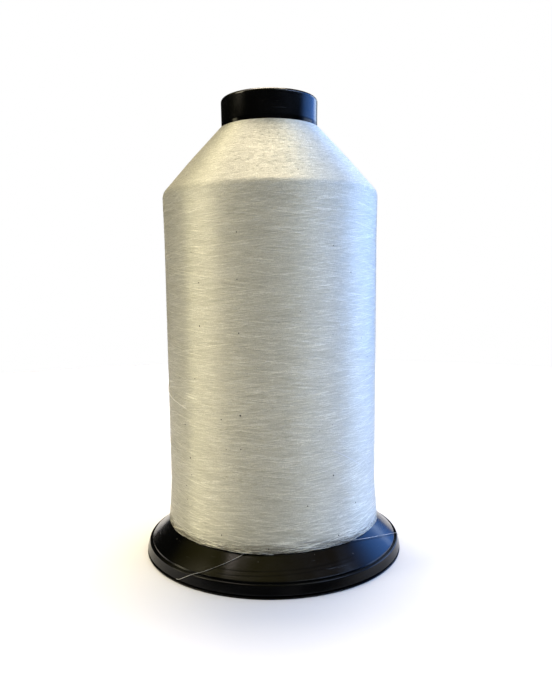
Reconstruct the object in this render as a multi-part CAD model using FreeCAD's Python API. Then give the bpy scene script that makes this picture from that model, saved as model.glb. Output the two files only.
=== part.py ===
import FreeCAD, Part
import math
import os

# Large sewing-thread spool (king spool): a plastic tube with a thick nose collar, a conical
# snap-on base with a thread-lock ring under it, a cross-wound thread package, and the thread's
# tail, which crosses the base and is caught in the lock ring's gap.
#
# Millimetres, +Z up. The origin is on the spool's axis, on the surface that it stands on.
# Outlines are half sections: (radius, height, corner rounding).

# Whole spool
TOTAL_HEIGHT = 190.0
RIM_RADIUS = 55.0            # the base at the floor, its widest point

# Core tube and its nose collar
BORE_RADIUS = 17.4
TUBE_RADIUS = 19.0
TUBE_FOOT_Z = 1.3
COLLAR_BOTTOM_Z = 178.0
COLLAR_TOP_RADIUS = 20.2
COLLAR_LOW_RADIUS = 20.05
COLLAR_BEVEL = (0.3, 1.5)    # radial, vertical: the lower edge turns in
STOP_RADIUS = 21.0           # shoulder above the base's hub
STOP_HEIGHT = 1.2
FOOT_BEAD_RADIUS = 19.7      # snap bead below the base's hub
FOOT_BEAD_TOP_Z = 2.5
FIT_GAP = 0.05               # between pieces that are pushed together and stay so

# Base flange
DECK_Z = 15.85               # flat top that the package stands on
DECK_RADIUS = 41.0           # where the visible cone begins
CONE_SLOPE = 0.878           # drop per millimetre of radius
CONE_END_RADIUS = 52.6
WALL = 2.0
HUB_RADIUS = 21.6
HUB_BOTTOM_Z = 2.6
BEAD_Z = 5.1                 # top of the bead round the cone's edge
BEAD_RADIUS = 53.95
GROOVE_DEPTH = 0.35          # fine groove between cone and bead
SKIRT_BOTTOM_Z = 1.25
SKIRT_INNER_RADIUS = 52.9
GUIDE_RADIUS = 45.5          # inner wall that the lock ring's collar slides in
GUIDE_OUTER_RADIUS = 47.2
GUIDE_LAND_TOP_Z = 2.6
RELIEF_RADIUS = 46.0

# Thread-lock ring
LIP_TOP_Z = 0.65             # leaves a gap under the skirt for the thread
PLATE_TOP_Z = 1.2
PLATE_OUTER_RADIUS = 50.0
COLLAR_INNER_RADIUS = 44.0
RUNNING_CLEARANCE = 0.08
CATCH_RADIUS = 45.85         # bead that the guide's land stops
CATCH_TOP_Z = 6.4
LOCK_TRAVEL = 3.0

# Thread package
FOOT_RADIUS = 45.5           # the lowest turns bulge a little over the cone
WAIST_RADIUS, WAIST_Z = 44.25, 29.0
UPPER_RADIUS, UPPER_Z = 44.75, 132.0
SHOULDER_RADIUS, SHOULDER_Z = 45.15, 150.8
SHOULDER_ROUND = 5.0
CROWN_RADIUS, CROWN_Z = 33.9, 163.9      # the tapered end is slightly full
NOSE_RADIUS = 20.9

# Thread tail
THREAD_RADIUS = 0.11
STORE_RADIUS = 51.3          # where the tail lies inside the skirt
STORE_Z = 0.95
STORE_FROM, STORE_TO = 24.0, 206.0
STORE_STEP = 13.0
ARC_SHARE = 0.45             # of the shorter run


def cone_z(radius):
    """Height of the flange's visible cone at a radius."""
    return DECK_Z - CONE_SLOPE * (radius - DECK_RADIUS)


def section_point(radius, z):
    return FreeCAD.Vector(radius, 0, z)


def arc_between(before, corner, after, reach):
    """Arc tangent to both runs at a corner, starting `reach` from it; None where they are in line."""
    into = (corner - before).normalize()
    out = (after - corner).normalize()
    if into.getAngle(out) < 1e-4:
        return None
    start = corner - into * reach
    end = corner + out * reach
    half = into.getAngle(out) / 2
    radius = reach / math.tan(half)
    inward = (out - into).normalize()
    centre = corner + inward * (radius / math.cos(half))
    middle = centre - inward * radius
    return start, middle, end


def turned(corners):
    """Solid of revolution about +Z from a closed outline of (radius, z, corner rounding)."""
    points = [section_point(radius, z) for radius, z, _ in corners]
    count = len(corners)
    arcs = []
    for i, (_, _, rounding) in enumerate(corners):
        before, corner, after = points[i - 1], points[i], points[(i + 1) % count]
        turn = (corner - before).getAngle(after - corner)
        reach = rounding * math.tan(turn / 2)
        arcs.append(arc_between(before, corner, after, reach) if rounding else None)
    edges = []
    for i in range(count):
        nxt = (i + 1) % count
        start = arcs[i][2] if arcs[i] else points[i]
        end = arcs[nxt][0] if arcs[nxt] else points[nxt]
        edges.append(Part.LineSegment(start, end).toShape())
        if arcs[nxt]:
            edges.append(Part.Arc(*arcs[nxt]).toShape())
    face = Part.Face(Part.Wire(edges))
    return face.revolve(FreeCAD.Vector(0, 0, 0), FreeCAD.Vector(0, 0, 1), 360)


def core_tube():
    """Tube with its nose collar, the stop above the hub and the snap bead at its foot."""
    bevel_r, bevel_z = COLLAR_BEVEL
    stop_z = DECK_Z + FIT_GAP
    return turned([
        (BORE_RADIUS, TUBE_FOOT_Z, 0.4),
        (FOOT_BEAD_RADIUS, TUBE_FOOT_Z, 0.5),
        (FOOT_BEAD_RADIUS, FOOT_BEAD_TOP_Z, 0.15),
        (TUBE_RADIUS, FOOT_BEAD_TOP_Z, 0),
        (TUBE_RADIUS, stop_z, 0),
        (STOP_RADIUS, stop_z, 0.2),
        (STOP_RADIUS, stop_z + STOP_HEIGHT, 0.4),
        (TUBE_RADIUS, stop_z + STOP_HEIGHT, 0),
        (TUBE_RADIUS, COLLAR_BOTTOM_Z, 0),
        (COLLAR_LOW_RADIUS - bevel_r, COLLAR_BOTTOM_Z, 0.2),
        (COLLAR_LOW_RADIUS, COLLAR_BOTTOM_Z + bevel_z, 0.3),
        (COLLAR_TOP_RADIUS, TOTAL_HEIGHT, 1.2),
        (BORE_RADIUS, TOTAL_HEIGHT, 0.8),
    ])


def base_flange():
    """Conical base: hub on the tube, deck and cone, rim bead and skirt, guide wall underneath."""
    under = WALL * math.hypot(1, CONE_SLOPE)
    under_z = DECK_Z - WALL
    deck_end = DECK_RADIUS - (under - WALL) / CONE_SLOPE
    hub_bore = TUBE_RADIUS + FIT_GAP

    def cone_under(radius):
        return cone_z(radius) - under

    skirt_top_radius = SKIRT_INNER_RADIUS - 0.5
    return turned([
        (hub_bore, HUB_BOTTOM_Z, 0.3),
        (HUB_RADIUS, HUB_BOTTOM_Z, 0.4),
        (HUB_RADIUS, under_z, 1.0),
        (deck_end, under_z, 2.0),
        (RELIEF_RADIUS, cone_under(RELIEF_RADIUS), 0),
        (RELIEF_RADIUS, GUIDE_LAND_TOP_Z, 0),
        (GUIDE_RADIUS, GUIDE_LAND_TOP_Z, 0),
        (GUIDE_RADIUS, SKIRT_BOTTOM_Z, 0.2),
        (GUIDE_OUTER_RADIUS, SKIRT_BOTTOM_Z, 0.3),
        (GUIDE_OUTER_RADIUS, cone_under(GUIDE_OUTER_RADIUS), 0.5),
        (skirt_top_radius, cone_under(skirt_top_radius), 0.5),
        (SKIRT_INNER_RADIUS, SKIRT_BOTTOM_Z, 0.2),
        (RIM_RADIUS, SKIRT_BOTTOM_Z, 0.35),
        (BEAD_RADIUS, BEAD_Z, 0.7),
        (CONE_END_RADIUS + 2 * GROOVE_DEPTH, BEAD_Z, 0.15),
        (CONE_END_RADIUS + GROOVE_DEPTH, BEAD_Z - GROOVE_DEPTH, 0.1),
        (CONE_END_RADIUS, cone_z(CONE_END_RADIUS), 0.2),
        (DECK_RADIUS, DECK_Z, 2.0),
        (hub_bore, DECK_Z, 0.3),
    ])


def base_lock_ring():
    """Ring under the base: its lip closes on the skirt and traps the thread's end."""
    collar_radius = GUIDE_RADIUS - RUNNING_CLEARANCE
    catch_z = GUIDE_LAND_TOP_Z + LOCK_TRAVEL + FIT_GAP
    return turned([
        (COLLAR_INNER_RADIUS, 0, 0.3),
        (RIM_RADIUS, 0, 0.25),
        (RIM_RADIUS, LIP_TOP_Z, 0.2),
        (PLATE_OUTER_RADIUS, LIP_TOP_Z, 0.1),
        (PLATE_OUTER_RADIUS - 0.5, PLATE_TOP_Z, 0.1),
        (collar_radius, PLATE_TOP_Z, 0),
        (collar_radius, catch_z, 0),
        (CATCH_RADIUS, catch_z, 0.15),
        (CATCH_RADIUS, CATCH_TOP_Z, 0.2),
        (COLLAR_INNER_RADIUS, CATCH_TOP_Z, 0.3),
    ])


def thread_package():
    """Wound thread: stands on the deck and cone, tapers to the collar; the tube is cut out of it."""
    foot_z = cone_z(FOOT_RADIUS)
    body = turned([
        (TUBE_RADIUS, DECK_Z, 0),
        (DECK_RADIUS, DECK_Z, 2.0),
        (FOOT_RADIUS, foot_z, 0.7),
        (WAIST_RADIUS, WAIST_Z, 120.0),
        (UPPER_RADIUS, UPPER_Z, 200.0),
        (SHOULDER_RADIUS, SHOULDER_Z, SHOULDER_ROUND),
        (CROWN_RADIUS, CROWN_Z, 150.0),
        (NOSE_RADIUS, COLLAR_BOTTOM_Z, 0.5),
        (TUBE_RADIUS, COLLAR_BOTTOM_Z, 0),
    ])
    return body.cut(core_tube())


def polar(azimuth, radius, z):
    """Point at an azimuth in degrees: 0 is +X, 90 is +Y, and -90 faces the front."""
    angle = math.radians(azimuth)
    return FreeCAD.Vector(radius * math.cos(angle), radius * math.sin(angle), z)


def tail_route():
    """The tail from the package's lower edge, over the right rim, round inside the skirt,
    out over the front-left rim and back to the package's foot."""
    leaves_package = [
        (-77, 44.95, 16.9), (-69.5, 45.45, 16.1), (-61, 45.55, 15.3), (-52, 45.65, 14.1),
        (-44.5, 45.95, 12.9), (-37, 46.75, 11.8), (-28, 48.4, 10.45), (-18, 50.8, 8.35),
        (-7.5, 54.0, 5.65),
    ]
    over_right_rim = [(-3.5, 54.9, 3.4), (1.2, 55.42, 0.95)]
    turns = int((STORE_TO - STORE_FROM) / STORE_STEP)
    stored = [(STORE_FROM + STORE_STEP * i, STORE_RADIUS, STORE_Z) for i in range(turns + 1)]
    over_left_rim = [(227, 55.42, 0.95), (231.2, 54.85, 3.2), (235.3, 54.1, 5.35)]
    back_to_package = [(239.5, 52.4, 6.5), (247, 49.0, 9.3), (255.2, 45.85, 12.5), (259, 44.1, 14.4)]
    parts = leaves_package + over_right_rim + stored + over_left_rim + back_to_package
    return [polar(*point) for point in parts]


def thread_tail():
    """Round thread along its route: straight runs joined by the largest tangent arcs that fit."""
    route = tail_route()
    edges = []
    radii = []
    last = route[0]
    for before, corner, after in zip(route, route[1:], route[2:]):
        shorter = min((corner - before).Length, (after - corner).Length)
        start, middle, end = arc_between(before, corner, after, ARC_SHARE * shorter)
        edges.append(Part.LineSegment(last, start).toShape())
        edges.append(Part.Arc(start, middle, end).toShape())
        radii.append(edges[-1].Curve.Radius)
        last = end
    edges.append(Part.LineSegment(last, route[-1]).toShape())
    path = Part.Wire(edges)
    section = Part.Wire(Part.Circle(route[0], route[1] - route[0], THREAD_RADIUS).toShape())
    tube = path.makePipeShell([section], True, False)
    ratio = tube.Volume / (math.pi * THREAD_RADIUS ** 2 * path.Length)
    print("tail length", round(path.Length, 1), "volume ratio", round(ratio, 4))
    print("tail radii", [round(radius, 1) for radius in radii])
    return tube


NODES = {
    "core_tube": core_tube,
    "base_flange": base_flange,
    "base_lock_ring": base_lock_ring,
    "thread_package": thread_package,
    "thread_tail": thread_tail,
}

os.makedirs("parts", exist_ok=True)
for name, make in NODES.items():
    shape = make()
    shape.exportStep("parts/" + name + ".step")
    print(name, "volume", round(shape.Volume, 1), "valid", shape.isValid())
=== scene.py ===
import math

import bpy
import numpy as np
from mathutils import Matrix, Vector


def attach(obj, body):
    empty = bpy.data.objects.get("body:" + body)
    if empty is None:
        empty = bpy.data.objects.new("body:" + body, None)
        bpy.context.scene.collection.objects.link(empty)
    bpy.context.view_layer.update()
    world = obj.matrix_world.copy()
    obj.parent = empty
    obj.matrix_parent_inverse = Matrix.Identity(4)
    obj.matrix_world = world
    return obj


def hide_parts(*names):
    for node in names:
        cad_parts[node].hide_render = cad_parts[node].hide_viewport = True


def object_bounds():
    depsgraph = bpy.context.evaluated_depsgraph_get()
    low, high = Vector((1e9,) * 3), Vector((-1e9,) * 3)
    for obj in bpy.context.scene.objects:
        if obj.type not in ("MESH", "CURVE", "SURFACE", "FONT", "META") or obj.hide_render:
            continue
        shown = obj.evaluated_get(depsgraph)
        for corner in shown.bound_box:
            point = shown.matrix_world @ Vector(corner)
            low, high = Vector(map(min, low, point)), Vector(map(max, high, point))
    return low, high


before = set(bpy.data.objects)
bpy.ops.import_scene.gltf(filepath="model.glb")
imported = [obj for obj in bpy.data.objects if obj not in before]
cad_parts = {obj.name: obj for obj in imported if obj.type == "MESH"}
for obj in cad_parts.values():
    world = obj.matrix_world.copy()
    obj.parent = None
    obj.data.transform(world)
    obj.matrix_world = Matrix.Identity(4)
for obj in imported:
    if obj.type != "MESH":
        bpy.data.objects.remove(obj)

# A king spool of fine translucent thread on a black plastic tube and conical snap base.
# Metres, +Z up, in the frame of the CAD part. The front faces -Y.

CAD_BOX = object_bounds()
HEIGHT = CAD_BOX[1].z
MM = 0.001
SEED = 7


# ---------------------------------------------------------------- camera

# Found by fitting the spool's outline to the photograph; distances as shares of the spool's height
LENS_MM, SENSOR_MM = 34.38, 36.0
CAMERA_DISTANCE, EYE_HEIGHT = 1.4796, 0.6048
CAMERA_DOWN, CAMERA_YAW, CAMERA_ROLL = 5.306, -0.381, -0.59      # degrees


def make_camera():
    """The photograph's view: close to the spool, just above its middle, looking slightly down."""
    data = bpy.data.cameras.new("camera")
    data.sensor_width = SENSOR_MM
    data.lens = LENS_MM
    data.clip_start = 0.01
    camera = bpy.data.objects.new("camera", data)
    bpy.context.scene.collection.objects.link(camera)
    distance, eye_height = CAMERA_DISTANCE * HEIGHT, EYE_HEIGHT * HEIGHT
    down, yaw, roll = (math.radians(a) for a in (CAMERA_DOWN, CAMERA_YAW, CAMERA_ROLL))
    turn = (Matrix.Rotation(yaw, 4, "Z") @ Matrix.Rotation(math.pi / 2 - down, 4, "X")
            @ Matrix.Rotation(roll, 4, "Z"))
    camera.matrix_world = Matrix.Translation((0, -distance, eye_height)) @ turn
    bpy.context.scene.camera = camera


make_camera()


# ---------------------------------------------------------------- helpers

def polar(azimuth, radius, z):
    """Point at an azimuth in degrees (0 is +X, -90 the front), radius and height in millimetres."""
    angle = math.radians(azimuth)
    return Vector((radius * math.cos(angle), radius * math.sin(angle), z)) * MM


def add_mesh(name, vertices, faces, smooth=True):
    mesh = bpy.data.meshes.new(name)
    mesh.vertices.add(len(vertices))
    mesh.vertices.foreach_set("co", np.asarray(vertices, np.float32).ravel())
    faces = np.asarray(faces, np.int32)
    size = faces.shape[1]
    mesh.loops.add(faces.size)
    mesh.loops.foreach_set("vertex_index", faces.ravel())
    mesh.polygons.add(len(faces))
    mesh.polygons.foreach_set("loop_start", np.arange(0, faces.size, size, dtype=np.int32))
    mesh.update(calc_edges=True)
    mesh.validate()
    if smooth:
        mesh.shade_smooth()
    piece = bpy.data.objects.new(name, mesh)
    bpy.context.scene.collection.objects.link(piece)
    return piece


def strand_curve(name, points, radius):
    """Smooth open NURBS line with round section through control points in metres."""
    curve = bpy.data.curves.new(name, "CURVE")
    curve.dimensions = "3D"
    spline = curve.splines.new("NURBS")
    spline.points.add(len(points) - 1)
    for slot, point in zip(spline.points, points):
        slot.co = (*point, 1.0)
    spline.order_u = 3
    spline.use_endpoint_u = True
    spline.resolution_u = 8
    curve.bevel_depth = radius
    curve.bevel_resolution = 3
    curve.use_fill_caps = True
    piece = bpy.data.objects.new(name, curve)
    bpy.context.scene.collection.objects.link(piece)
    return piece


# ---------------------------------------------------------------- package profile

DECK_R, DECK_Z = 41.0, 15.85
CONE_SLOPE = 0.878
FOOT_R = 45.5
FOOT_Z = DECK_Z - CONE_SLOPE * (FOOT_R - DECK_R)
WAIST_R, WAIST_Z = 44.25, 29.0
UPPER_R, UPPER_Z = 44.75, 132.0
SHOULDER_R, SHOULDER_Z = 45.15, 150.8
CROWN_R, CROWN_Z = 33.9, 163.9
NOSE_R, NOSE_Z = 20.9, 178.0
TUBE_R = 19.0


def rounded(corners, steps=10):
    """Outline through (radius, z, rounding) corners, each rounded by a tangent arc."""
    points = [np.array(c[:2], float) for c in corners]
    out = [points[0]]
    for i in range(1, len(points) - 1):
        into = points[i] - points[i - 1]
        onto = points[i + 1] - points[i]
        into, onto = into / np.linalg.norm(into), onto / np.linalg.norm(onto)
        turn = math.acos(max(-1.0, min(1.0, float(into @ onto))))
        reach = corners[i][2] * math.tan(turn / 2)
        start, end = points[i] - into * reach, points[i] + onto * reach
        for t in np.linspace(0, 1, steps):
            mid = (1 - t) ** 2 * start + 2 * t * (1 - t) * points[i] + t * t * end
            out.append(mid)
    out.append(points[-1])
    return np.array(out)


PROFILE = rounded([
    (FOOT_R - 2.0, FOOT_Z + 2.0 * CONE_SLOPE, 0), (FOOT_R, FOOT_Z, 0.7),
    (WAIST_R, WAIST_Z, 120.0), (UPPER_R, UPPER_Z, 200.0), (SHOULDER_R, SHOULDER_Z, 5.0),
    (CROWN_R, CROWN_Z, 150.0), (NOSE_R, NOSE_Z, 0),
])
PROFILE_LENGTH = np.concatenate([[0], np.cumsum(np.hypot(*np.diff(PROFILE, axis=0).T))])
TOTAL_LENGTH = PROFILE_LENGTH[-1]
FOOT_LENGTH = 2.0 * math.hypot(1, CONE_SLOPE)      # from the profile's start to the foot's corner


def profile_at(s):
    """Radius and height in millimetres at lengths s along the package's outer profile."""
    return np.interp(s, PROFILE_LENGTH, PROFILE[:, 0]), np.interp(s, PROFILE_LENGTH, PROFILE[:, 1])


def profile_normal(s):
    """Outward normal of the profile (radial, vertical), smoothed over a millimetre."""
    r0, z0 = profile_at(s - 0.5)
    r1, z1 = profile_at(s + 0.5)
    length = np.hypot(r1 - r0, z1 - z0) + 1e-9
    return (z1 - z0) / length, -(r1 - r0) / length


# ---------------------------------------------------------------- thread package

CORE_COLUMNS, CORE_ROWS = 288, 330
CORE_SINK_WALL, CORE_SINK_CONE = 0.13, 0.09      # below the package's outer size, millimetres
FOOT_HOLLOW, FOOT_HOLLOW_REACH = 0.6, 0.8        # behind the turns at the foot, millimetres


def package_core():
    """The wound mass under the outermost turns, a little inside the package's outer size."""
    columns, rows = CORE_COLUMNS, CORE_ROWS
    theta = np.linspace(0, 2 * math.pi, columns, endpoint=False)
    s = np.linspace(0, TOTAL_LENGTH, rows)
    radius, z = profile_at(s)
    normal_r, normal_z = profile_normal(s)
    sink = np.interp(z, (SHOULDER_Z - 4.0, SHOULDER_Z + 1.0), (CORE_SINK_WALL, CORE_SINK_CONE))
    sink += FOOT_HOLLOW * np.exp(-np.abs(s - FOOT_LENGTH) / FOOT_HOLLOW_REACH)
    gap = 0.02                     # clear of the tube, the deck and the collar
    ring_r = [TUBE_R + gap, DECK_R, *(radius - sink * normal_r), TUBE_R + gap]
    ring_z = [DECK_Z + gap, DECK_Z + gap, *(z - sink * normal_z), NOSE_Z - gap]
    ring_r, ring_z = np.array(ring_r), np.array(ring_z)
    grid = np.stack([np.outer(ring_r, np.cos(theta)), np.outer(ring_r, np.sin(theta)),
                     np.repeat(ring_z[:, None], columns, 1)], axis=2) * MM
    count = len(ring_r)
    index = np.arange(count * columns).reshape(count, columns)
    right = np.roll(index, -1, axis=1)
    up = np.roll(index, -1, axis=0)
    corner = np.roll(right, -1, axis=0)
    faces = np.stack([index, right, corner, up], axis=2).reshape(-1, 4)
    return add_mesh("package_core", grid.reshape(-1, 3), faces)


TURN_R = 0.11                      # thread radius, millimetres
TURN_STEP = math.radians(7.5)
LAY_ANGLE, LAY_SPREAD = 6.5, 1.2   # tilt of the wound turns, degrees
TURN_SIDES = 4
TURN_COVER, TURN_WEAVE = 0.03, 0.05      # least cover over a turn, and its rise and fall, millimetres
FOOT_LOOSE, FOOT_LOOSE_REACH = 0.22, 1.5   # turns stand in and out at the foot, millimetres


def stroke_path(rng, start_angle, upward):
    """One traverse of the thread: (angle, length along the profile) from foot to nose or back."""
    tilt = math.radians(rng.normal(LAY_ANGLE, LAY_SPREAD))
    low, high = FOOT_LENGTH + rng.uniform(-0.4, 1.5), TOTAL_LENGTH - rng.uniform(0.2, 1.0)
    s_list, angle_list = [low], [start_angle]
    while s_list[-1] < high:
        s = s_list[-1]
        radius = float(np.interp(s, PROFILE_LENGTH, PROFILE[:, 0]))
        ease = min(1.0, 0.25 + (s - low) / 4, 0.25 + (high - s) / 4)
        s_list.append(s + radius * TURN_STEP * math.tan(tilt) * max(ease, 0.1))
        angle_list.append(angle_list[-1] + (TURN_STEP if upward else -TURN_STEP))
    return np.array(angle_list), np.minimum(np.array(s_list), high)


def package_turns(name, strokes, rng):
    """Outermost turns as separate round threads lying in the package's surface."""
    sides = TURN_SIDES
    ring = np.linspace(0, 2 * math.pi, sides, endpoint=False)
    out, along = np.cos(ring)[None, :] * TURN_R, np.sin(ring)[None, :] * TURN_R
    vertices, faces, tones = [], [], []
    offset = 0
    for i in range(strokes):
        upward = i % 2 == 0
        angle, s = stroke_path(rng, rng.uniform(0, 2 * math.pi), upward)
        steps = len(s)
        wander = np.cumsum(rng.normal(0, 0.03, steps))
        s = np.clip(s + wander - np.linspace(0, wander[-1], steps), 2.2, TOTAL_LENGTH - 0.1)
        weave = np.convolve(rng.normal(0, 1, steps + 8), np.ones(9) / 3, "valid")
        depth = TURN_R + TURN_COVER + TURN_WEAVE * np.clip(1 + weave, 0, 2.2)
        depth -= FOOT_LOOSE * weave * np.exp(-(s - FOOT_LENGTH) / FOOT_LOOSE_REACH)
        radius, z = profile_at(s)
        normal_r, normal_z = profile_normal(s)
        r = (radius - depth * normal_r)[:, None] + out * normal_r[:, None] - along * normal_z[:, None]
        height = (z - depth * normal_z)[:, None] + out * normal_z[:, None] + along * normal_r[:, None]
        x, y = r * np.cos(angle)[:, None], r * np.sin(angle)[:, None]
        vertices.append(np.stack([x, y, height], axis=2).reshape(-1, 3) * MM)
        index = offset + np.arange(steps * sides).reshape(steps, sides)
        a, b = index[:-1], index[1:]
        quads = np.stack([a, np.roll(a, -1, 1), np.roll(b, -1, 1), b], axis=2).reshape(-1, 4)
        ends = np.array([index[0][::-1], index[-1]])
        quads = np.concatenate([quads, ends])
        faces.append(quads if upward else quads[:, ::-1])
        tones.append(np.full(steps * sides, rng.random()))
        offset += steps * sides
    piece = add_mesh(name, np.concatenate(vertices), np.concatenate(faces))
    tone = piece.data.attributes.new("tone", "FLOAT", "POINT")
    tone.data.foreach_set("value", np.concatenate(tones).astype(np.float32))
    return piece


# ---------------------------------------------------------------- loose thread

TAIL_R = 0.08 * MM                 # drawn thinner than the turns, as the photograph shows it
OUTER_TURN_R = 0.11 * MM
OUTER_TURN_STEP = 6                # degrees between control points


def outer_turn_points():
    """The package's last turn, down to the tail's start: proud of the surface at the left edge,
    level with it at the lower right, and sunk in it elsewhere."""
    # azimuth in degrees, height and lift above the surface in millimetres
    knots = [
        (-208, 73.5, -0.45), (-190, 71.9, 0.0), (-178, 70.7, 0.22), (-166, 69.2, 0.25),
        (-152, 67.4, 0.15), (-143, 66.0, -0.1), (-134, 64.5, -0.45), (-67, 52.6, -0.45),
        (-58, 50.1, -0.2), (-48, 46.2, -0.13), (-38, 41.6, -0.15), (-30, 38.4, -0.45),
        (20, 31.0, -0.45), (120, 24.5, -0.45), (283, 16.9, -0.45),
    ]
    azimuth, z, lift = np.array(knots).T
    turn = np.arange(azimuth[0], azimuth[-1] + OUTER_TURN_STEP / 2, OUTER_TURN_STEP)
    height = np.interp(turn, azimuth, z)
    radius = np.interp(height, PROFILE[:, 1], PROFILE[:, 0]) + np.interp(turn, azimuth, lift)
    outward = math.cos(math.radians(OUTER_TURN_STEP / 2))     # the smooth line cuts inside its points
    return [polar(a, r / outward, h) for a, r, h in zip(turn, radius, height)]


def tail_points():
    """The tail's route: off the package, over the right rim, round inside the skirt, back at left."""
    leaves_package = [
        (-77, 44.95, 16.9), (-69.5, 45.45, 16.1), (-61, 45.55, 15.3), (-52, 45.65, 14.1),
        (-44.5, 45.95, 12.9), (-37, 46.75, 11.8), (-28, 48.4, 10.45), (-18, 50.8, 8.35),
        (-7.5, 54.0, 5.65),
    ]
    over_right_rim = [(-3.5, 54.9, 3.4), (1.2, 55.42, 0.95)]
    stored = [(24.0 + 13.0 * i, 51.3, 0.95) for i in range(15)]      # inside the skirt
    over_left_rim = [(227, 55.42, 0.95), (231.2, 54.85, 3.2), (235.3, 54.1, 5.35)]
    back_to_package = [(239.5, 52.4, 6.5), (247, 49.0, 9.3), (255.2, 45.85, 12.5), (259, 44.1, 14.4)]
    parts = leaves_package + over_right_rim + stored + over_left_rim + back_to_package
    return [polar(*point) for point in parts]


# ---------------------------------------------------------------- materials

class Nodes:
    """Short way to write a node tree."""

    def __init__(self, name=None, tree=None):
        if tree is None:
            self.material = bpy.data.materials.new(name)
            self.material.use_nodes = True
            tree = self.material.node_tree
            self.shader = tree.nodes["Principled BSDF"]
        self.tree = tree

    def add(self, kind, inputs=None, **settings):
        node = self.tree.nodes.new(kind)
        for key, value in settings.items():
            setattr(node, key, value)
        for key, value in (inputs or {}).items():
            if isinstance(value, bpy.types.NodeSocket):
                self.tree.links.new(value, node.inputs[key])
            else:
                node.inputs[key].default_value = value
        return node

    def math(self, operation, a, b=0.5, clamp=False):
        return self.add("ShaderNodeMath", {0: a, 1: b}, operation=operation, use_clamp=clamp).outputs[0]

    def between(self, value, limits, low, high):
        """low at limits[0], high at limits[1], even between."""
        return self.add("ShaderNodeMapRange", {"Value": value, "From Min": limits[0],
                                               "From Max": limits[1], "To Min": low,
                                               "To Max": high}).outputs[0]

    def ramp(self, value, stops):
        node = self.add("ShaderNodeValToRGB", {"Fac": value})
        elements = node.color_ramp.elements
        while len(elements) < len(stops):
            elements.new(0.5)
        for element, (position, color) in zip(elements, stops):
            element.position = position
            element.color = color if len(color) == 4 else (*color, 1)
        return node.outputs["Color"]

    def mix(self, share, first, second):
        """first where share is 0, second where it is 1."""
        return self.add("ShaderNodeMix", {0: share, 6: first, 7: second}, data_type="RGBA").outputs[2]

    def noise(self, vector, scale, detail=2.0, roughness=0.5):
        return self.add("ShaderNodeTexNoise", {"Vector": vector, "Scale": scale, "Detail": detail,
                                               "Roughness": roughness}).outputs["Fac"]

    def stretched(self, scale):
        """Object coordinates, scaled along each axis, so that noise draws out into streaks."""
        coords = self.add("ShaderNodeTexCoord").outputs["Object"]
        return self.add("ShaderNodeMapping", {"Vector": coords, "Scale": scale}).outputs["Vector"]

    def set(self, **values):
        for key, value in values.items():
            socket = self.shader.inputs[key.replace("_", " ")]
            if isinstance(value, bpy.types.NodeSocket):
                self.tree.links.new(value, socket)
            else:
                socket.default_value = value


# Heights on the package, in metres, between which its look changes
WALL_TOP = (0.144, 0.153)
LOWEST_TURNS = (0.013, 0.026)
FOOT_EDGE = (0.012, 0.018)
DARK_SPECK = (0.05, 0.045, 0.04, 1)
# painted shade for the gaps between the turns at the package's foot
PAINTED_GAP_SHADE = (0.07, 0.065, 0.055, 1)


def helix_noise(n, lean, across, along, seed):
    """Noise drawn out along the turns: helices that lean one way, fine across and long along."""
    coords = n.add("ShaderNodeTexCoord").outputs["Object"]
    xyz = n.add("ShaderNodeSeparateXYZ", {"Vector": coords}).outputs
    angle = n.math("ARCTAN2", xyz["Y"], xyz["X"])
    phase = n.math("SUBTRACT", angle, n.math("MULTIPLY", xyz["Z"], lean))
    u = n.math("MULTIPLY", n.math("COSINE", phase), across)
    v = n.math("MULTIPLY", n.math("SINE", phase), across)
    w = n.math("ADD", n.math("MULTIPLY", xyz["Z"], along), seed)
    vector = n.add("ShaderNodeCombineXYZ", {"X": u, "Y": v, "Z": w}).outputs[0]
    return n.noise(vector, 1.0, 2.0, 0.6)


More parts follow.
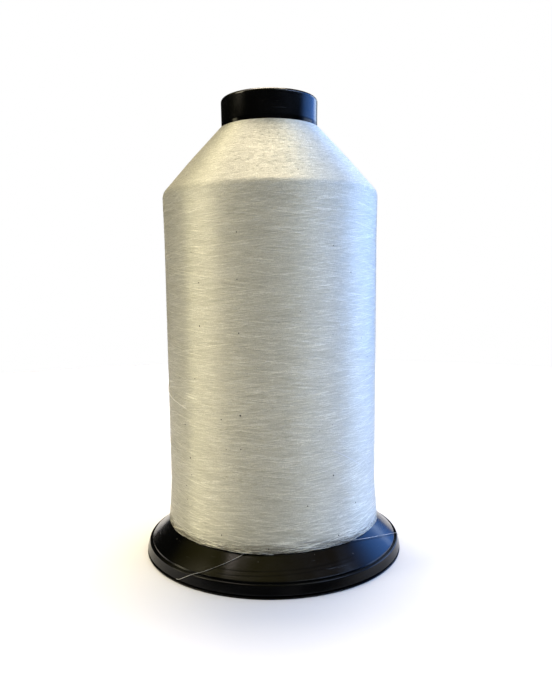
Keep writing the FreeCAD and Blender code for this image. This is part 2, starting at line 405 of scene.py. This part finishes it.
def thread_material(name, bright=1.0, tones=False):
    """Translucent, off-white continuous filament: silky, streaked along the turns, a few specks."""
    n = Nodes(name)
    lean = 1 / (0.0447 * math.tan(math.radians(LAY_ANGLE)))     # radians of turn per metre of rise
    up = helix_noise(n, lean, 13.0, 720.0, 3.0)
    down = helix_noise(n, -lean, 13.0, 720.0, 11.0)
    weave = n.math("MAXIMUM", up, down)
    coords = n.add("ShaderNodeTexCoord").outputs["Object"]
    grain = n.noise(coords, 2600.0, 1.0)
    glints = helix_noise(n, lean, 40.0, 1900.0, 5.0)
    height = n.add("ShaderNodeSeparateXYZ", {"Vector": coords}).outputs["Z"]
    wall = n.between(height, WALL_TOP, 1.0, 0.0)
    low_part = n.between(height, LOWEST_TURNS, 0.8, 0.0)
    contrast = n.math("ADD", n.math("ADD", n.math("MULTIPLY", wall, 0.56), 0.13), low_part)
    streak = n.math("MULTIPLY", n.math("SUBTRACT", weave, 0.55), contrast)
    grainy = n.math("SUBTRACT", 0.5, n.math("MULTIPLY", wall, 0.2))
    graining = n.math("MULTIPLY", n.math("SUBTRACT", grain, 0.5), grainy)
    tone = n.math("ADD", n.math("ADD", streak, 0.55), graining)
    # Painted highlights: short bright glints along the turns are added to the colour.
    painted_glint_strength = n.math("SUBTRACT", 0.75, n.math("MULTIPLY", wall, 0.4))
    glint = n.math("MULTIPLY", n.math("SUBTRACT", glints, 0.5), painted_glint_strength)
    tone = n.math("ADD", tone, glint)
    if tones:
        strand = n.add("ShaderNodeAttribute", attribute_name="tone").outputs["Fac"]
        tone = n.math("ADD", tone, n.math("MULTIPLY", n.math("SUBTRACT", strand, 0.5), 0.06))
    base = n.ramp(tone, [
        (0.38, tuple(bright * c for c in (0.41, 0.405, 0.325))),
        (0.56, tuple(bright * c for c in (0.54, 0.53, 0.435))),
        (0.74, tuple(bright * c for c in (0.80, 0.79, 0.68))),
    ])
    # Painted shade: near the foot the colour darkens in the gaps between the turns, a painted contact
    # shadow.
    foot = n.between(height, FOOT_EDGE, 0.95, 0.0)
    gap_shade = n.ramp(n.math("ADD", weave, n.math("MULTIPLY", grain, 0.15)),
                  [(0.60, (1, 1, 1)), (0.69, (0, 0, 0))])
    base = n.mix(n.math("MULTIPLY", foot, gap_shade), base, PAINTED_GAP_SHADE)
    speck_cell = n.add("ShaderNodeTexVoronoi", {"Vector": coords, "Scale": 400.0}).outputs
    pick = n.add("ShaderNodeSeparateColor", {"Color": speck_cell["Color"]}).outputs
    speck_size = n.math("MULTIPLY", n.math("POWER", pick[1], 2.5), 0.15)      # mostly small
    dot = n.math("LESS_THAN", speck_cell["Distance"], speck_size)
    speck = n.math("MULTIPLY", n.math("LESS_THAN", pick[0], 0.28), dot)
    base = n.mix(speck, base, DARK_SPECK)
    along = n.add("ShaderNodeTangent", direction_type="RADIAL", axis="Z").outputs[0]
    tilt = n.math("MULTIPLY", n.math("MULTIPLY", n.math("SUBTRACT", up, down), wall), 0.85)
    tilted = n.add("ShaderNodeCombineXYZ", {"Z": tilt}).outputs[0]
    tangent = n.add("ShaderNodeVectorMath", {0: along, 1: tilted}).outputs[0]
    relief = n.math("ADD", n.math("MULTIPLY", weave, n.math("ADD", n.math("MULTIPLY", wall, 0.9), 0.1)),
                    n.math("ADD", n.math("MULTIPLY", grain, 0.15), n.math("MULTIPLY", glints, 0.25)))
    bump = n.add("ShaderNodeBump", {"Height": relief, "Strength": 0.6, "Distance": 0.0003})
    rough = n.math("SUBTRACT", 0.62, n.math("MULTIPLY", wall, 0.12))
    n.set(Base_Color=base, Roughness=rough, IOR=1.5, Specular_IOR_Level=1.0, Metallic=0.5,
          Anisotropic=0.9, Anisotropic_Rotation=0.25, Tangent=tangent, Normal=bump.outputs["Normal"])
    return n.material


def loose_material(name, dim, bright, metal, highlight_shift=0.0):
    """The same thread on its own: clear, with uneven painted glints along its length. The last argument
    paints it duller than that on the package's lower part and a painted highlight above."""
    n = Nodes(name)
    coords = n.add("ShaderNodeTexCoord").outputs["Object"]
    height = n.add("ShaderNodeSeparateXYZ", {"Vector": coords}).outputs["Z"]
    # Painted highlight: colour lighter at random glints along the thread, and by height when the last
    # argument is set: darker low, lighter high.
    lower = n.between(height, (0.055, 0.063), highlight_shift, -highlight_shift)
    uneven = n.math("SUBTRACT", n.noise(coords, 200.0, 2.0), lower)
    base = n.ramp(uneven, [(0.38, (dim, dim, dim * 0.97)), (0.66, (bright, bright, bright * 0.97))])
    n.set(Base_Color=base, Roughness=0.3 + 0.2 * metal, IOR=1.5, Specular_IOR_Level=1.0, Metallic=metal)
    return n.material


def plastic_material(name):
    """Glossy black moulded plastic with a dull film in patches, hairline scratches and dust."""
    n = Nodes(name)
    coords = n.add("ShaderNodeTexCoord").outputs["Object"]
    film = n.noise(coords, 70.0, 4.0)
    scratch = n.ramp(n.noise(n.stretched((60, 60, 1500)), 1.0, 5.0, 0.7),
                     [(0.64, (0, 0, 0)), (0.70, (1, 1, 1))])
    cell = n.add("ShaderNodeTexVoronoi", {"Vector": coords, "Scale": 330.0}).outputs
    pick = n.add("ShaderNodeSeparateColor", {"Color": cell["Color"]}).outputs
    dot = n.math("LESS_THAN", cell["Distance"], n.math("MULTIPLY", pick[1], 0.10))
    dust = n.math("MULTIPLY", n.math("LESS_THAN", pick[0], 0.12), dot)
    base = n.ramp(film, [(0.35, (0.0010, 0.0011, 0.0011)), (0.75, (0.0022, 0.0023, 0.0024))])
    base = n.mix(n.math("MULTIPLY", scratch, 0.25), base, (0.02, 0.019, 0.017, 1))
    base = n.mix(dust, base, (0.07, 0.068, 0.06, 1))
    rough = n.between(film, (0.3, 0.7), 0.12, 0.24)
    rough = n.math("ADD", rough, n.math("MULTIPLY", scratch, 0.2))
    bump = n.add("ShaderNodeBump", {"Height": n.noise(coords, 1400.0, 2.0), "Strength": 0.05,
                                    "Distance": 0.0002})
    xyz = n.add("ShaderNodeSeparateXYZ", {"Vector": coords}).outputs
    gloss = n.between(xyz["Z"], (0.005, 0.0062), 0.14, 0.31)      # duller skirt, glossier cone
    from_edge = n.math("ABSOLUTE", n.math("SUBTRACT", xyz["Z"], 0.1785))
    under_collar = n.math("LESS_THAN", from_edge, 0.0015)
    gloss = n.math("MULTIPLY", gloss, n.math("SUBTRACT", 1.0, n.math("MULTIPLY", under_collar, 0.7)))
    off_centre = n.math("ABSOLUTE", n.math("SUBTRACT", xyz["X"], 0.005))
    front = n.math("MULTIPLY", n.math("LESS_THAN", off_centre, 0.026), n.math("LESS_THAN", xyz["Y"], 0.0))
    for rise, lean in ((0.0072, 0.026), (0.0083, 0.018)):        # two faint lines across the front, where the cone reflects less
        line = n.math("ADD", n.math("MULTIPLY", xyz["X"], lean), rise)
        away = n.math("ABSOLUTE", n.math("SUBTRACT", xyz["Z"], line))
        away = n.math("ADD", away, n.math("MULTIPLY", film, 0.0002))
        mark = n.math("MULTIPLY", n.math("MULTIPLY", n.math("LESS_THAN", away, 0.00025), front), 0.16)
        gloss = n.math("SUBTRACT", gloss, mark, clamp=True)
    n.set(Base_Color=base, Roughness=rough, IOR=1.5, Specular_IOR_Level=gloss,
          Normal=bump.outputs["Normal"])
    return n.material


# ---------------------------------------------------------------- make the pieces

rng = np.random.default_rng(SEED)
thread_look = thread_material("thread")
turn_look = thread_material("thread_turns", 1.05, tones=True)
tail_look = loose_material("tail", 0.10, 0.55, 0.0)
outer_look = loose_material("outer_turn", 0.58, 0.99, 0.45, highlight_shift=0.3)
plastic_look = plastic_material("black_plastic")

core = package_core()
core.data.materials.append(thread_look)
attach(core, "spool")
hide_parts("thread_package")

TURN_GROUPS = {"package_turns_a": 72, "package_turns_b": 72, "package_turns_c": 72}
for turn_name, strokes in TURN_GROUPS.items():
    turns = package_turns(turn_name, strokes, rng)
    turns.data.materials.append(turn_look)
    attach(turns, "spool")

tail = strand_curve("thread_tail_line", tail_points(), TAIL_R)
tail.data.materials.append(tail_look)
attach(tail, "spool")
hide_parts("thread_tail")

outer_turn = strand_curve("outer_turn", outer_turn_points(), OUTER_TURN_R)
outer_turn.data.materials.append(outer_look)
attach(outer_turn, "spool")

for node in ("core_tube", "base_flange", "base_lock_ring"):
    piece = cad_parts[node]
    piece.data.materials.clear()
    piece.data.materials.append(plastic_look)


# ---------------------------------------------------------------- stage and light

def area_light(name, azimuth, elevation, size, watts, distance=0.9):
    """Soft panel at an azimuth and elevation in degrees round the spool, facing it; watts per colour."""
    data = bpy.data.lights.new(name, "AREA")
    data.shape = "RECTANGLE"
    data.size, data.size_y = size
    data.energy = max(watts)
    data.color = [w / max(watts) for w in watts]
    lamp = bpy.data.objects.new(name, data)
    bpy.context.scene.collection.objects.link(lamp)
    a, e = math.radians(azimuth), math.radians(elevation)
    direction = Vector((math.cos(a) * math.cos(e), math.sin(a) * math.cos(e), math.sin(e)))
    lamp.location = Vector((0, 0, HEIGHT / 2)) + direction * distance
    lamp.visible_camera = False
    lamp.rotation_mode = "QUATERNION"
    lamp.rotation_quaternion = direction.to_track_quat("Z", "Y")
    return lamp


pale = Nodes("pale_floor")
from_centre = pale.add("ShaderNodeVectorMath", {0: pale.add("ShaderNodeTexCoord").outputs["Object"]},
                       operation="LENGTH").outputs["Value"]
# Painted light: the floor's colour is darker near the spool and paler and bluer outwards, to even out the
# lamps' warm light falling off with distance.
paler_outwards = pale.ramp(from_centre, [(0.22, (0.68, 0.69, 0.72)), (0.5, (0.84, 0.87, 0.95))])
pale.set(Base_Color=paler_outwards, Roughness=0.9)
FLOOR_R = 0.65
edge = np.radians(np.arange(0, 360, 5))
floor = add_mesh("floor", np.stack([FLOOR_R * np.cos(edge), FLOOR_R * np.sin(edge), 0 * edge], axis=1),
                 [list(range(len(edge)))], smooth=False)
floor.data.materials.append(pale.material)


def make_world():
    """Surroundings as light: a warm top, a cool right side towards the back, and dark elsewhere.
    White to the camera."""
    world = bpy.data.worlds.new("world")
    bpy.context.scene.world = world
    world.use_nodes = True
    n = Nodes(tree=world.node_tree)
    toward = n.add("ShaderNodeSeparateXYZ",
                   {"Vector": n.add("ShaderNodeTexCoord").outputs["Generated"]}).outputs

    def rise(value, low, high):
        """0 below low, 1 above high, smooth between."""
        return n.add("ShaderNodeMapRange", {"Value": value, "From Min": low, "From Max": high},
                     interpolation_type="SMOOTHSTEP").outputs[0]

    top = rise(toward["Z"], 0.45, 0.75)
    low = n.math("SUBTRACT", 1.0, top)
    rightward = rise(toward["X"], -0.1, 0.35)
    beside = n.math("MULTIPLY", low, rise(toward["X"], 0.38, 0.8))
    parts = [
        (n.math("MULTIPLY", top, n.math("SUBTRACT", 1.0, rightward)), (0.38, 0.32, 0.06)),
        (n.math("MULTIPLY", top, rightward), (0.20, 0.14, 0.04)),
        (n.math("MULTIPLY", beside, rise(toward["Y"], -0.25, 0.15)), (0.42, 1.30, 4.00)),
    ]
    light = n.add("ShaderNodeCombineXYZ", {"X": 0.01, "Y": 0.01, "Z": 0.01}).outputs[0]
    for share, color in parts:
        term = n.add("ShaderNodeVectorMath", {0: color, "Scale": share}, operation="SCALE").outputs[0]
        light = n.add("ShaderNodeVectorMath", {0: light, 1: term}).outputs[0]
    seen = n.add("ShaderNodeLightPath").outputs["Is Camera Ray"]
    shown = n.mix(seen, light, (1, 1, 1, 1))
    n.tree.links.new(shown, n.tree.nodes["Background"].inputs["Color"])


# The colours and strengths of the surroundings and of these lights were fitted to the photograph
# and then changed, so the light is tinted: cool at the right, warm at the left.
make_world()
area_light("window_low", 14, 6, (0.5, 0.25), (1.20, 1.38, 1.45))
area_light("window_high", -12, 34, (0.3, 0.3), (0.52, 0.80, 1.44))
area_light("window_side", 52, 20, (0.3, 0.4), (0.68, 0.80, 0.90))
area_light("window_front", -32, 38, (0.35, 0.25), (1.42, 1.86, 2.98))
area_light("window_front_high", -55, 45, (0.3, 0.25), (0.95, 1.08, 1.15))
area_light("lamp_low", 183, 5, (0.2, 0.22), (1.08, 0.99, 0.66))
area_light("lamp_high", 196, 34, (0.25, 0.28), (3.05, 2.73, 2.02))
area_light("ceiling", -90, 105, (0.4, 0.3), (11.8, 10.3, 8.3))
area_light("ceiling_left", 180, 68, (0.4, 0.3), (1.88, 1.65, 1.59))

bpy.context.scene.view_settings.view_transform = "Standard"
